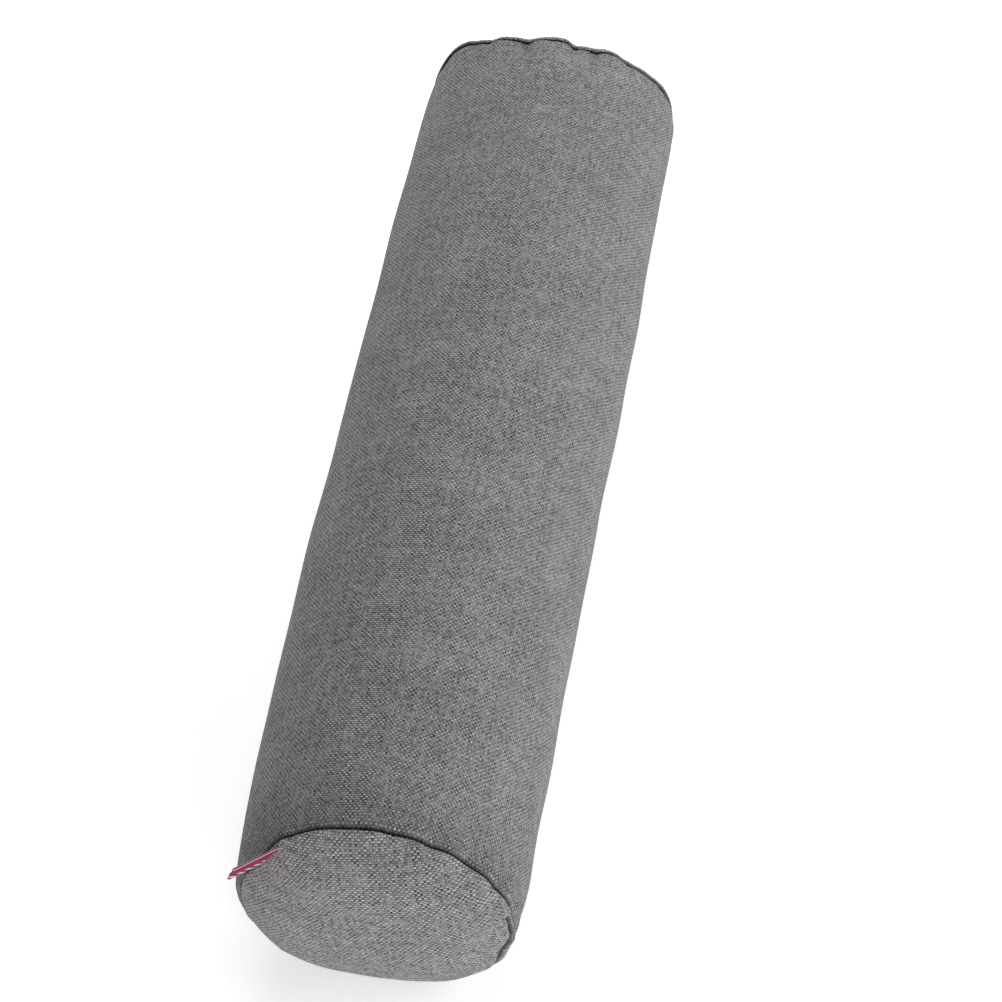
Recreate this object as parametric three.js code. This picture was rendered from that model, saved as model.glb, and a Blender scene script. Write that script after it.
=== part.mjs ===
// A round bolster cushion, lying on its side: a filled cloth tube with its own crowned ends,
// a round cloth panel over each end, and a folded ribbon tab sewn into the front seam.
// Millimetres. +Y runs along the bolster from the front end to the back end and +Z is up.
// The origin is the middle of the flat spot that the bolster rests on.
// A clock angle is in degrees round the tube, 0 at the top and 90 on the +X side.

import * as THREE from 'three';

// Driving dimensions
const SEAM_TO_SEAM = 568; // along the middle of the bolster
const CLOTH_THICKNESS = 2; // a panel with the layer of filling that is caught in it
const PIECE_GAP = 0.3; // left between two pieces that touch

// How each panel domes out past its seam. A high power keeps its middle broad,
// and an edge under 1 makes it leave the seam more steeply.
const DOMES = {
  front: { crown: 16.5, power: 3, edge: 1 },
  back: { crown: 17, power: 2.4, edge: 0.62 },
};

// The seam's groove, between the rolled edge of the tube and that of the panel
const SEAM_STEP = 1; // the panel's edge lies this far inside the tube's
const TUBE_ROLL = 1.6; // along the tube, from the stitches to where its edge has rolled in
const PANEL_ROLL = 0.9; // how far the panel's edge stands past the stitches

// The flat spot
const REST_RADIUS = 75; // round part that the flat is pressed into
const FLAT_DEPTH = 1.5; // how much of it is pressed away
const FLAT_EASE = 4; // height over which the flat rounds up into the side

// The tube's radius on each side, a row for each station along it from the front seam
const SECTIONS = [
  { station: 0, left: 68.4, right: 71.8 },
  { station: 8, left: 71.2, right: 74.2 },
  { station: 20, left: 72.5, right: 75.2 },
  { station: 40, left: 73.3, right: 75.4 },
  { station: 75, left: 74.5, right: 74.9 },
  { station: 150, left: 75.4, right: 74.5 },
  { station: 235, left: 76.3, right: 74.5 },
  { station: 300, left: 75.4, right: 74.8 },
  { station: 385, left: 74.8, right: 75.8 },
  { station: 460, left: 74.8, right: 74.6 },
  { station: 520, left: 73.8, right: 74.7 },
  { station: 545, left: 73.3, right: 74.6 },
  { station: 559, left: 72.8, right: 74.0 },
  { station: SEAM_TO_SEAM, left: 72, right: 73 },
];

// Tucks and puffs where the seam draws the cloth in or lets it out, a row for each.
// clock and width are degrees, out and past are millimetres away from the axis and past the end,
// and reach is how far along the tube it runs.
const TUCKS = [
  { end: 'front', clock: -57, width: 15, out: -4.6, past: 0, reach: 44 },
  { end: 'front', clock: 6, width: 12, out: 1.2, past: 0, reach: 30 },
  { end: 'front', clock: 56, width: 8, out: 0.9, past: 0, reach: 24 },
  { end: 'front', clock: 100, width: 10, out: -1.6, past: -1.5, reach: 36 },
  { end: 'front', clock: 124, width: 10, out: 0.8, past: 0, reach: 24 },
  { end: 'front', clock: -146, width: 15, out: 3.2, past: 0, reach: 50 },
  { end: 'back', clock: -45, width: 14, out: 1.5, past: 4, reach: 40 },
  { end: 'back', clock: -10, width: 6, out: -1.3, past: -1.5, reach: 24 },
  { end: 'back', clock: 15, width: 7, out: -1.4, past: -2, reach: 28 },
  { end: 'back', clock: 60, width: 18, out: 0.8, past: 1, reach: 40 },
];

// The back end stands a little out of square
const BACK_LEAN_DOWN = 10; // its bottom reaches this far past its middle, and its top as far short
const BACK_LEAN_SIDE = 4; // the same from its left side to its right
const LEAN_REACH = 150; // length of tube over which the lean dies out

// The ribbon tab, folded in two with both ends caught in the front seam
const TAB_CLOCK = -51.5;
const TAB_WIDTH = 18;
const TAB_LENGTH = 25;
const TAB_TILT = 42; // degrees away from the tube's direction
const TAB_DROOP = 1.5; // how far its free end sinks
const RIBBON_THICKNESS = 1;
const RIBBON_GAP = 0.6; // between its two layers
const TAB_SEAT = 0.5; // from the tube's edge out to the middle of the tab's root

// Fineness of the meshes
const STEPS_ROUND = 64;
const STEPS_ALONG = 20;
const STEPS_CROWN = 7;
const STEPS_TAB = 6;
const STEPS_FOLD = 6;

const SEAMS = { front: 0, back: SEAM_TO_SEAM };
const DEGREE = Math.PI / 180;
const { clamp, lerp } = THREE.MathUtils;

const cloth = { color: 0x7e7c7d, roughness: 0.95, metalness: 0 };
const ribbon = { color: 0x96325f, roughness: 0.7, metalness: 0 };

// A value from a table's column, on a smooth curve through its rows
function alongTube(station, column) {
  const at = clamp(station, 0, SEAM_TO_SEAM);
  const slope = (i) => {
    const before = SECTIONS[Math.max(i - 1, 0)];
    const after = SECTIONS[Math.min(i + 1, SECTIONS.length - 1)];
    return (after[column] - before[column]) / (after.station - before.station);
  };
  const next = Math.max(1, SECTIONS.findIndex((row) => row.station >= at));
  const from = SECTIONS[next - 1];
  const to = SECTIONS[next];
  const run = to.station - from.station;
  const t = (at - from.station) / run;
  const rise = t * t * (3 - 2 * t);
  const bend = t * (1 - t) * run * ((1 - t) * slope(next - 1) - t * slope(next));
  return lerp(from[column], to[column], rise) + bend;
}

const tubeRadius = (station) => (alongTube(station, 'left') + alongTube(station, 'right')) / 2;

// 1 at a seam and beyond it, falling smoothly to 0 at a distance of reach along the tube
function fadeIn(distance, reach) {
  return THREE.MathUtils.smoothstep(1 - Math.max(distance, 0) / reach, 0, 1);
}

// Presses the underside flat: 0 below the pressed depth, then an even curve up into the round
function pressed(height) {
  const above = Math.max(height - FLAT_DEPTH, 0);
  return above < FLAT_EASE ? above ** 2 / (2 * FLAT_EASE) : above - FLAT_EASE / 2;
}

// Where a point of the plain round form comes to lie in the sewn, filled and resting bolster
function settle(radius, angle, station) {
  const round = tubeRadius(station);
  const share = radius / round;
  const lopsided = (alongTube(station, 'right') - alongTube(station, 'left')) / 2;
  const toSeam = { front: station, back: SEAM_TO_SEAM - station };
  const lean = fadeIn(toSeam.back, LEAN_REACH) * share;
  let out = radius + lopsided * Math.sin(angle) * share;
  let y = station + lean * (BACK_LEAN_SIDE * Math.sin(angle) - BACK_LEAN_DOWN * Math.cos(angle));
  for (const tuck of TUCKS) {
    const turn = THREE.MathUtils.euclideanModulo(angle / DEGREE - tuck.clock + 180, 360) - 180;
    const pull = Math.exp(-0.5 * (turn / tuck.width) ** 2) * share ** 2 * fadeIn(toSeam[tuck.end], tuck.reach);
    out += tuck.out * pull;
    y += (tuck.end === 'front' ? -tuck.past : tuck.past) * pull;
  }
  const z = pressed(out * Math.cos(angle) + REST_RADIUS);
  return new THREE.Vector3(out * Math.sin(angle), y - SEAM_TO_SEAM / 2, z);
}

// A profile spun round the middle and settled. Its points hold a radius and a station.
function spun(profile) {
  const geometry = new THREE.LatheGeometry(profile, STEPS_ROUND);
  const place = geometry.attributes.position;
  for (let i = 0; i < place.count; i += 1) {
    const radius = Math.hypot(place.getX(i), place.getZ(i));
    const angle = radius > 0 ? Math.atan2(place.getX(i), place.getZ(i)) : 0;
    const settled = settle(radius, angle, place.getY(i));
    place.setXYZ(i, settled.x, settled.y, settled.z);
  }
  geometry.computeVertexNormals();
  return geometry;
}

// An end's dome in section, from its middle to the sewn edge, as a radius and a height past the seam
class Dome extends THREE.Curve {
  constructor(end) {
    super();
    this.shape = DOMES[end];
    this.edgeRadius = tubeRadius(SEAMS[end]) - SEAM_STEP;
  }

  getPoint(t) {
    const share = Math.sin((t * Math.PI) / 2);
    const rise = (this.shape.crown - PANEL_ROLL) * (1 - share ** this.shape.power) ** this.shape.edge;
    return new THREE.Vector2(this.edgeRadius * share, PANEL_ROLL + rise);
  }

  // A point that lies deep under the panel's face, and past the dome's point towards the edge
  under(t, deep, past = 0) {
    const along = this.getTangent(t);
    const inward = new THREE.Vector2(along.y, -along.x).multiplyScalar(deep);
    const point = this.getPoint(t).add(inward).addScaledVector(along, past);
    return t === 0 ? point.setX(0) : point;
  }

  layer(deep) {
    const steps = Array.from({ length: STEPS_CROWN + 1 }, (_, i) => i / STEPS_CROWN);
    return steps.map((t) => this.under(t, deep));
  }
}

// The filled body's dome and the step that its panel's edge is sewn to
function bodyEnd(end) {
  const dome = new Dome(end);
  const deep = CLOTH_THICKNESS + PIECE_GAP;
  return [
    ...dome.layer(deep),
    dome.under(1, deep, PIECE_GAP),
    dome.under(1, CLOTH_THICKNESS / 2, PIECE_GAP),
    new THREE.Vector2(dome.edgeRadius + SEAM_STEP / 2, -TUBE_ROLL / 3),
  ];
}

// A panel in section: its face, its cut edge and its back
function panelSection(end) {
  const dome = new Dome(end);
  return [...dome.layer(0), dome.under(1, CLOTH_THICKNESS / 2), ...dome.layer(CLOTH_THICKNESS).reverse()];
}

// Turns heights past a seam into stations from the front seam
const atFront = (points) => points.map((p) => new THREE.Vector2(p.x, -p.y));
const atBack = (points) => points.map((p) => new THREE.Vector2(p.x, SEAM_TO_SEAM + p.y)).reverse();

function bodyGeometry() {
  const tube = [];
  const length = SEAM_TO_SEAM - 2 * TUBE_ROLL;
  for (let i = 0; i <= STEPS_ALONG; i += 1) {
    const station = TUBE_ROLL + (length / 2) * (1 - Math.cos((Math.PI * i) / STEPS_ALONG));
    tube.push(new THREE.Vector2(tubeRadius(station), station));
  }
  return spun([...atFront(bodyEnd('front')), ...tube, ...atBack(bodyEnd('back'))]);
}

// One leg of the folded ribbon and half of its fold, on the side given by 1 or -1
function ribbonEdge(depth, side) {
  const half = RIBBON_THICKNESS + RIBBON_GAP / 2;
  const points = [];
  for (let i = 0; i < STEPS_TAB; i += 1) {
    points.push(new THREE.Vector2(((TAB_LENGTH - half) * i) / STEPS_TAB, side * (half - depth)));
  }
  for (let i = 0; i <= STEPS_FOLD; i += 1) {
    const turn = (i / STEPS_FOLD) * (Math.PI / 2);
    const across = side * (half - depth) * Math.cos(turn);
    points.push(new THREE.Vector2(TAB_LENGTH - half + (half - depth) * Math.sin(turn), across));
  }
  return points;
}

function tabGeometry() {
  const outside = [...ribbonEdge(0, -1), ...ribbonEdge(0, 1).reverse().slice(1)];
  const inside = [...ribbonEdge(RIBBON_THICKNESS, 1), ...ribbonEdge(RIBBON_THICKNESS, -1).reverse().slice(1)];
  const section = new THREE.Shape([...outside, ...inside]);
  const geometry = new THREE.ExtrudeGeometry(section, { depth: TAB_WIDTH, bevelEnabled: false });
  geometry.translate(0, 0, -TAB_WIDTH / 2);
  const place = geometry.attributes.position;
  for (let i = 0; i < place.count; i += 1) {
    place.setY(i, place.getY(i) - TAB_DROOP * (place.getX(i) / TAB_LENGTH) ** 2);
  }
  geometry.computeVertexNormals();
  return geometry;
}

function piece(name, geometry, look) {
  const mesh = new THREE.Mesh(geometry, new THREE.MeshStandardMaterial(look));
  mesh.name = name;
  return mesh;
}

// The tab stands out of the front seam, tilted from straight ahead towards straight out
function sideTab() {
  const tab = piece('side_tab', tabGeometry(), ribbon);
  const halfTurn = TAB_WIDTH / 2 / tubeRadius(0);
  const seam = [-1, 1].map((side) => settle(tubeRadius(0), TAB_CLOCK * DEGREE + side * halfTurn, 0));
  const along = seam[0].clone().sub(seam[1]).normalize();
  const ahead = new THREE.Vector3(0, -1, 0);
  const out = new THREE.Vector3().crossVectors(along, ahead);
  const tilt = TAB_TILT * DEGREE;
  const reach = ahead.clone().multiplyScalar(Math.cos(tilt)).addScaledVector(out, Math.sin(tilt));
  const across = new THREE.Vector3().crossVectors(along, reach);
  tab.setRotationFromMatrix(new THREE.Matrix4().makeBasis(reach, across, along));
  tab.position.lerpVectors(seam[0], seam[1], 0.5).addScaledVector(out, TAB_SEAT);
  return tab;
}

const bolster = new THREE.Group();
bolster.add(
  piece('bolster_body', bodyGeometry(), cloth),
  piece('end_panel_front', spun(atFront(panelSection('front'))), cloth),
  piece('end_panel_back', spun(atBack(panelSection('back'))), cloth),
  sideTab(),
);

export default bolster;
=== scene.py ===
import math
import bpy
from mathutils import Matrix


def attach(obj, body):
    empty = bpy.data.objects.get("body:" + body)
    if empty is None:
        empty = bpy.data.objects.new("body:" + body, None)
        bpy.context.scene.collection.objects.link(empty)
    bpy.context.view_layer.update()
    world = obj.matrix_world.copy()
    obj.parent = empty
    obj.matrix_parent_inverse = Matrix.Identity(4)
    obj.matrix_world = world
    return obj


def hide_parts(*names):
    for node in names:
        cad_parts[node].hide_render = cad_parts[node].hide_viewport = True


bl_info = {
    "name": "Round bolster cushion",
    "version": (1, 0, 0),
    "blender": (4, 5, 0),
    "location": "3D View > Sidebar > Bolster",
    "description": "Dresses the solids of a round bolster in woven cloth, with sewn ends and a ribbon tab",
    "category": "Add Mesh",
}

import bpy
import numpy as np
from mathutils import Euler, Vector

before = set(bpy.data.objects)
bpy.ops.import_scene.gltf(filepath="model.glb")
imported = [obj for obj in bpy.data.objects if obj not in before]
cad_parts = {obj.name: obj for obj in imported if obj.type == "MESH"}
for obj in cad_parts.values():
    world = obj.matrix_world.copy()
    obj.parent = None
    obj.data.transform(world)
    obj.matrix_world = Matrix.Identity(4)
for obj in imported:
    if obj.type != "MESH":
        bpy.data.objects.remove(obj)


def table(columns, *rows):
    """Rows of values as dictionaries with the same column names."""
    return [dict(zip(columns.split(), row)) for row in rows]


# Lengths here are millimetres, and a clock angle is in degrees round the tube,
# 0 at the top and 90 on the +X side. A station is measured along the tube from the front seam.
MM = 0.001
CLOTH_UV = "cloth"  # a UV map in real metres of cloth

# The filled form, as the solids have it
SEAM_TO_SEAM = 568.0
SEAMS = {"front": 0.0, "back": SEAM_TO_SEAM}
REST_RADIUS = 75.0
FLAT_DEPTH = 1.5
FLAT_EASE = 4.0
BACK_LEAN_DOWN = 10.0
BACK_LEAN_SIDE = 4.0
LEAN_REACH = 150.0
SECTIONS = np.array(
    [
        # station, radius on the left, radius on the right
        (0, 68.4, 71.8),
        (8, 71.2, 74.2),
        (20, 72.5, 75.2),
        (40, 73.3, 75.4),
        (75, 74.5, 74.9),
        (150, 75.4, 74.5),
        (235, 76.3, 74.5),
        (300, 75.4, 74.8),
        (385, 74.8, 75.8),
        (460, 74.8, 74.6),
        (520, 73.8, 74.7),
        (545, 73.3, 74.6),
        (559, 72.8, 74.0),
        (SEAM_TO_SEAM, 72.0, 73.0),
    ]
)
STATION, LEFT, RIGHT = 0, 1, 2
# Where the cloth is let out or drawn in, and moved past its seam's plane, fading out at a reach
TUCKS = table(
    "end clock width out past reach",
    ("front", -57, 15, -4.6, 0, 44),
    ("front", 6, 12, 1.2, 0, 30),
    ("front", 56, 8, 0.9, 0, 24),
    ("front", 100, 10, -1.6, -1.5, 36),
    ("front", 124, 10, 0.8, 0, 24),
    ("front", -146, 15, 3.2, 0, 50),
    ("back", -45, 14, 1.5, 4, 40),
    ("back", -10, 6, -1.3, -1.5, 24),
    ("back", 15, 7, -1.4, -2, 28),
    ("back", 60, 18, 0.8, 1, 40),
    # These two aren't in the solids
    ("front", -178, 24, 0, -5, 40),
    ("front", -66, 7, -0.8, 0, 18),
)

# Finer shaping than the solids have
# Where each seam's line strays, by clock angle: outwards at the front end, along the tube at the back
SEAM_STRAYS = {
    "front": [
        (-60, 0.0), (-48, 1.2), (-41, 1.8), (-35, 0.2), (-23, 0.3), (-10, -0.3), (2, 0.1), (11, -1.0),
        (19, 0.1), (26, -0.9), (34, 0.9), (46, -0.3), (53, 0.6), (61, -0.2), (70, 1.2), (76, 1.7),
        (78.5, 1.3), (81.5, -2.2), (89, -1.0), (98, 1.4), (110, -0.2), (119, 1.1), (130, 0.0),
    ],
    "back": [
        (-62, 1.0), (-49, 2.5), (-43, 1.9), (-36, -0.3), (-29, -1.3), (-23, 0.9), (-16, 0.5),
        (-10, -0.3), (-5, 0.3), (1, -0.2), (8, 0.7), (13, -1.5), (18, -0.8), (22, -1.4), (28, 0.0),
        (33, -0.4), (38, -2.1), (43, -2.3), (50, -1.3), (64, 0.0),
    ],
}
STRAY_PAST = 12.0  # degrees that a table's first and last values hold past its ends
STRAY_REACH = 15.0
WANDER = 0.15  # size of the seams' small random waves
# How far the tube's rolled edge stands out and the panel's is drawn in, or stands out below 0
LIPS = table(
    "end clock width out drawn",
    ("front", -118, 24, 2.2, 0.5),
    ("front", -149, 6, 1.2, 0.5),
    ("front", 112, 11, 1.9, 1.3),
    ("front", 133, 6, 1.8, 0.9),
    ("front", 157, 8, 1.2, 0.5),
    ("back", -57, 14, 0, -1.7),
    ("back", 73, 15, 0, -1.5),
)
TUBE_LIP_REACH = 12.0
PANEL_LIP_REACH = 10.0
# Small folds in the tube's cloth, with the clock angle and distance from the seam of both their ends, and
# how much painted shade darkens the cloth along each fold's line
FOLDS = table(
    "end start stop width depth lip shade",
    ("front", (77.5, 0.2), (83.0, 5.0), 0.8, 1.3, 0.4, 0.6),
    ("front", (100.0, 0.5), (104.0, 12.0), 2.4, 0.9, 0.3, 0),
    ("front", (-41.0, 0.0), (-38.0, 15.0), 2.0, 0.8, 0.3, 0),
    ("front", (11.0, 0.0), (12.0, 12.0), 2.4, 0.5, 0.2, 0),
    ("front", (27.0, 0.0), (25.0, 15.0), 2.2, 0.5, 0.2, 0),
    ("back", (-10.0, 0.0), (-8.5, 19.0), 3.2, 1.3, 0.3, 0.25),
    ("back", (13.0, 0.0), (11.5, 12.0), 2.4, 1.3, 0.4, 0.2),
    ("back", (23.0, 0.0), (22.0, 13.0), 3.4, 1.3, 0.3, 0.2),
    ("back", (-29.0, 0.0), (-31.0, 16.0), 2.6, 0.7, 0.3, 0),
    ("back", (40.0, 0.0), (42.0, 18.0), 2.8, 0.8, 0.3, 0),
)
FOLD_TAPER = 0.7  # the power by which a fold fades out along its line
FOLD_BEGIN = 2.0  # how softly it begins
FOLD_LIP_AT = 1.9  # the place and width of its raised side, in widths of the fold
FOLD_LIP_WIDTH = 1.2

# The puckers beside the seams
PUCKER_ON_EDGE = 0.45  # the puckers' share of their height on a rolled edge
TUBE_EDGE = 5.0  # how far the rolled edges reach
PANEL_EDGE = 4.0
PANEL_PUCKERS_SHORTER = 1.6
PANEL_PUCKERS_LOWER = 0.8

# The lumps of the filling
LUMP_WAVES = 16
LUMP_LENGTHS = (70, 260)
LUMP_SIZE = 0.35
LUMP_SEED = 7

# Each panel's crown past its seam, and the shape of the crown
CROWNS = {
    "front": dict(crown=16.5, power=3.0, edge=1.0, roll_from=58.0),
    "back": dict(crown=17.0, power=2.4, edge=0.62, roll_from=0.0),
}

# The seams, where two rolled edges of cloth meet in a narrow groove
PANEL_INSET = 1.0  # the panel's edge lies this far inside the tube's
TUBE_ROLL = 2.0
PANEL_ROLL = 1.3
SEAM_GAP = 0.8
SEAM_DEPTH = 4.0  # the cloth goes on this far into the groove
PANEL_THICKNESS = 0.9
UNDER_PANEL = 3.2  # from a panel's face to the filling's face under it
CLOSING_CLOCK = 196.0  # the seam that closes the tube, on the underside
CLOSING_DEPTH = 1.1
CLOSING_WIDTH = 0.9

# Painted shade in the seams: the cloth's colour is darkened in and beside each groove, more widely at the
# back seam and less on the underside
SEAM_SHADE = 0.22  # share of the colour left deep in a groove, painted shade
TUBE_GROOVE_SHADE = (0.3, 1.6)  # from darkest painted shade to clear, along the tube's cloth
FAR_SHADE_WIDER = 0.7
UNDER_SHADE_NARROWER = 0.9
UNDERSIDE = (105.0, 125.0)  # arc from the closing seam where the underside ends
PANEL_GROOVE_SHADE = (3.1, 4.5)  # the same painted shade as the tube's, from the end of the panel's cloth

# The weave
PANEL_LOOSER = 1.14  # the panels' weave is opened this much by the filling
SWAY = 1.6  # size of the waves in which the threads wander
DARKEST = 0.15  # limits of the cloth's tone, as shares of its mean colour
LIGHTEST = 2.4
CRIMP = 0.6  # how far the threads bend over and under each other
MEAN_HEIGHT = 0.72

# The scales of the cloth's noises, about the number of waves in a metre
SWAYS = 45.0
FLECKS = 130.0
SLUBS = 60.0
FIBRES = 5200.0
YARN = 750.0
PATCHES = 170.0
CLOUDS = 30.0
THREADS_APART = 5.7  # gives each thread a stretch of the noise of its own

# Fineness
COLUMNS = 540
FINE_AROUND = [
    # clock angle, half width in degrees, how many times closer
    (CLOSING_CLOCK, 1.8, 3.0),
    (77.0, 8.0, 2.6),
    (-10.0, 5.0, 1.5),
    (13.0, 5.0, 1.5),
]
PANEL_COLUMNS = 360
DOME_STEPS = 34
FINE_STEP = 0.6
STEP_GROWTH = 1.07
WIDE_STEP = 6.5

# The sewing thread that shows in the seams
STITCH_DEPTH = 1.7  # how far inside the tube's edge the stitches of the end seams lie
STITCH_ENDS = 5.0  # the closing seam's stitches stop this far from the end seams
CLOSING_STITCH_DEPTH = 0.1  # under the bottom of the closing seam's groove
CLOSING_STEPS = 560

# The ribbon tab
TAB_CLOCK = -50.5
TAB_TILT = 45.0
TAB_SLANT = 23.0
TAB_SEAT = -4.0
TAB_HALF_ROOT = 9.0
TAB_ROOT = 3.0  # how deep its ends go into the seam
RIBBON_THICKNESS = 0.7
RIBBON_LOOP = 0.35  # half of the space inside its fold
RIBBON_FOLD = 2.2  # how far the fold reaches, in halves of that space
RIBBON_PINCH = 0.38  # share of that space left at the seam
RIBBON_RIPPLE = 0.25
RIBBON_WAVE = 0.55
RIBBON_PHASE = 0.8
RIBBON_TWIST = 0.5
RIBBON_THIN = 0.02  # squared share of the thickness kept on its edges
RIBBON_STEPS = 25
LEG_STEPS = 26
FOLD_STEPS = 13
RIB_PITCH = 0.75
EDGING = ((0.1, 0.3), (0.8, 1.1))  # the pale edging begins and ends, from the ribbon's upper edge
BAND = ((0.9, 1.3), (6.8, 7.2))  # the band of strokes begins and ends, from the lower edge
STROKE_PITCH = 4.6
STROKE_SLANT = 0.75

# The studio: an even pale surround and soft lamps, in metres and watts
SKY = 0.28
LAMPS = [
    # name, place, size, power
    ("high", (2.2, 0.3, 2.0), 2.0, 28.0),
    ("front", (1.7, -2.4, 0.65), 1.6, 34.0),
    ("near", (-0.2, 1.2, 1.3), 0.9, 15.0),
]
FLOOR_HALF = 12.0
FLOOR_DROP = 0.0004  # the floor lies this far under the bolster
FLOOR_GLOW = 0.5  # keeps the floor plain white right up to the bolster
CAMERA_AIM = (20.6, -17.6, 75.0)  # millimetres
SENSOR_WIDTH = 36.0  # millimetres


def number(name, description, default, **more):
    return bpy.props.FloatProperty(name=name, description=description, default=default, **more)


def lengths(name, description, default):
    return number(name, description, default, unit="LENGTH", precision=5)


def rotation(name, description, degrees):
    return number(name, description, math.radians(degrees), unit="ROTATION")


def share(name, description, default):
    return number(name, description, default, min=0.0, subtype="FACTOR")


def colour(name, description, default):
    return bpy.props.FloatVectorProperty(
        name=name, description=description, default=default, subtype="COLOR", min=0.0, max=1.0
    )


class BolsterForm(bpy.types.PropertyGroup):
    pucker_height: lengths("Pucker height", "How far the cloth stands up between the stitches", 0.00042)
    lump_height: lengths("Lump height", "Unevenness of the filling under the cloth", 0.00035)
    fill: share("Fill", "How tightly the bolster is filled", 0.9)


class BolsterCloth(bpy.types.PropertyGroup):
    tube_colour: colour("Tube colour", "Mean colour of the tube's cloth", (0.255, 0.248, 0.252))
    panel_colour: colour("Panel colour", "Mean colour of the end panels' cloth", (0.28, 0.272, 0.277))
    pitch_round: lengths("Thread pitch round", "From one thread to the next, round the tube", 0.00125)
    pitch_along: lengths("Thread pitch along", "From one thread to the next, along the tube", 0.0013)
    relief: lengths("Weave relief", "How far a thread stands over the one it crosses", 0.0004)
    # Crown contrast is painted light and shade: the weave's crowns are made lighter and its holes darker
    # in colour. Thread contrast is partly the threads' own tone and partly painted shade of light falling
    # across the round threads.
    crown_contrast: share("Crown contrast", "How much darker the holes are than the crowns", 0.6)
    thread_contrast: share("Thread contrast", "How much darker the lengthwise threads are", 0.75)
    fleck: share("Fleck", "How much the tone varies along and between threads", 0.5)
    speckle: share("Speckle", "How much single crossings differ in tone", 0.6)
    melange: share("Melange", "How much the tone of the yarn itself varies", 0.9)
    cloud: share("Cloud", "How much the tone varies from place to place", 0.35)
    panel_turn: rotation("Panel turn", "How far the panels' weave is turned", -9)


class BolsterStitches(bpy.types.PropertyGroup):
    pitch: lengths("Pitch", "From one stitch to the next", 0.0028)
    length: lengths("Length", "Length of the thread that bridges the seam", 0.0016)
    thickness: lengths("Thickness", "Thickness of the sewing thread", 0.0004)
    seed: bpy.props.IntProperty(name="Seed", description="Seed of the stitches' unevenness", default=5)
    thread_colour: colour("Thread colour", "Colour of the sewing thread", (0.06, 0.058, 0.06))


class BolsterTab(bpy.types.PropertyGroup):
    width: lengths("Width", "Width of the ribbon", 0.020)
    length: lengths("Length", "From the seam to the fold", 0.0268)
    ribbon_colour: colour("Ribbon colour", "Main colour of the ribbon", (0.25, 0.018, 0.076))
    edge_colour: colour("Edge colour", "Colour of the strokes woven in", (0.6, 0.5, 0.54))


class BolsterStage(bpy.types.PropertyGroup):
    floor_colour: colour("Floor colour", "Colour of the plain floor", (0.93, 0.93, 0.93))
    azimuth: rotation("Azimuth", "Camera's turn round the bolster", 9.526)
    elevation: rotation("Elevation", "Camera's height as an angle", 50.834)
    distance: lengths("Distance", "From the camera to the point it aims at", 1.9627)
    lens: number("Lens", "Focal length on a 36 mm sensor", 129.34, unit="CAMERA")


def smooth(t):
    """A smooth step from 0 to 1."""
    return t * t * (3 - 2 * t)


def bell(offset, width):
    return np.exp(-0.5 * (offset / width) ** 2)


def along_tube(station, side):
    """The tube's radius on one side, on a smooth curve through SECTIONS."""
    at = np.clip(station, 0, SEAM_TO_SEAM)
    stations, radii = SECTIONS[:, STATION], SECTIONS[:, side]
    last = len(stations) - 1
    before = np.maximum(np.arange(last + 1) - 1, 0)
    after = np.minimum(np.arange(last + 1) + 1, last)
    slopes = (radii[after] - radii[before]) / (stations[after] - stations[before])
    to = np.clip(np.searchsorted(stations, at, side="left"), 1, last)
    run = stations[to] - stations[to - 1]
    t = (at - stations[to - 1]) / run
    bend = t * (1 - t) * run * ((1 - t) * slopes[to - 1] - t * slopes[to])
    return radii[to - 1] + (radii[to] - radii[to - 1]) * smooth(t) + bend


def tube_radius(station):
    return (along_tube(station, LEFT) + along_tube(station, RIGHT)) / 2


def rim_radius(end):
    return float(tube_radius(SEAMS[end]))


def to_seams(station):
    """The distance from a station to each seam."""
    return {"front": station, "back": SEAM_TO_SEAM - station}


def fade_in(distance, reach):
    """1 at a seam and past it, falling smoothly to 0 at a distance of reach."""
    return smooth(np.clip(1 - np.maximum(distance, 0) / reach, 0, 1))


def pressed(height):
    """Presses the underside flat, with an even curve up into the round."""
    above = np.maximum(height - FLAT_DEPTH, 0)
    return np.where(above < FLAT_EASE, above**2 / (2 * FLAT_EASE), above - FLAT_EASE / 2)


def turn_from(clock, angle):
    """Signed degrees from a clock angle to an angle in radians."""
    return np.mod(np.degrees(angle) - clock + 180, 360) - 180


def settle(radius, angle, station, puff=0.0, push=0.0):
    """Where a point of the plain round form lies in the sewn, filled and resting bolster."""
    part = radius / tube_radius(station)
    lopsided = (along_tube(station, RIGHT) - along_tube(station, LEFT)) / 2
    off = to_seams(station)
    lean = fade_in(off["back"], LEAN_REACH) * part
    out = radius + lopsided * np.sin(angle) * part + puff
    y = station + lean * (BACK_LEAN_SIDE * np.sin(angle) - BACK_LEAN_DOWN * np.cos(angle)) + push
    for tuck in TUCKS:
        turn = turn_from(tuck["clock"], angle)
        pull = bell(turn, tuck["width"]) * part**2 * fade_in(off[tuck["end"]], tuck["reach"])
        out = out + tuck["out"] * pull
        y = y + (-tuck["past"] if tuck["end"] == "front" else tuck["past"]) * pull
    z = pressed(out * np.cos(angle) + REST_RADIUS)
    return np.stack(np.broadcast_arrays(out * np.sin(angle), y - SEAM_TO_SEAM / 2, z), axis=-1)


def stray(end, angle):
    """How far a seam's line strays at an angle, eased from row to row of its table."""
    clocks, offsets = np.array(SEAM_STRAYS[end], float).T
    turn = turn_from(0, angle)
    clock = np.clip(turn, clocks[0], clocks[-1])
    to = np.clip(np.searchsorted(clocks, clock), 1, len(clocks) - 1)
    t = (clock - clocks[to - 1]) / (clocks[to] - clocks[to - 1])
    inside = (turn > clocks[0] - STRAY_PAST) & (turn < clocks[-1] + STRAY_PAST)
    return np.where(inside, offsets[to - 1] + (offsets[to] - offsets[to - 1]) * smooth(t), 0.0)


def lip(end, angle, kind):
    """How far the tube's edge stands out at an angle, or how far the panel's is drawn in."""
    total = 0.0
    for row in LIPS:
        if row["end"] == end:
            total = total + row[kind] * bell(turn_from(row["clock"], angle), row["width"])
    return total


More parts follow.
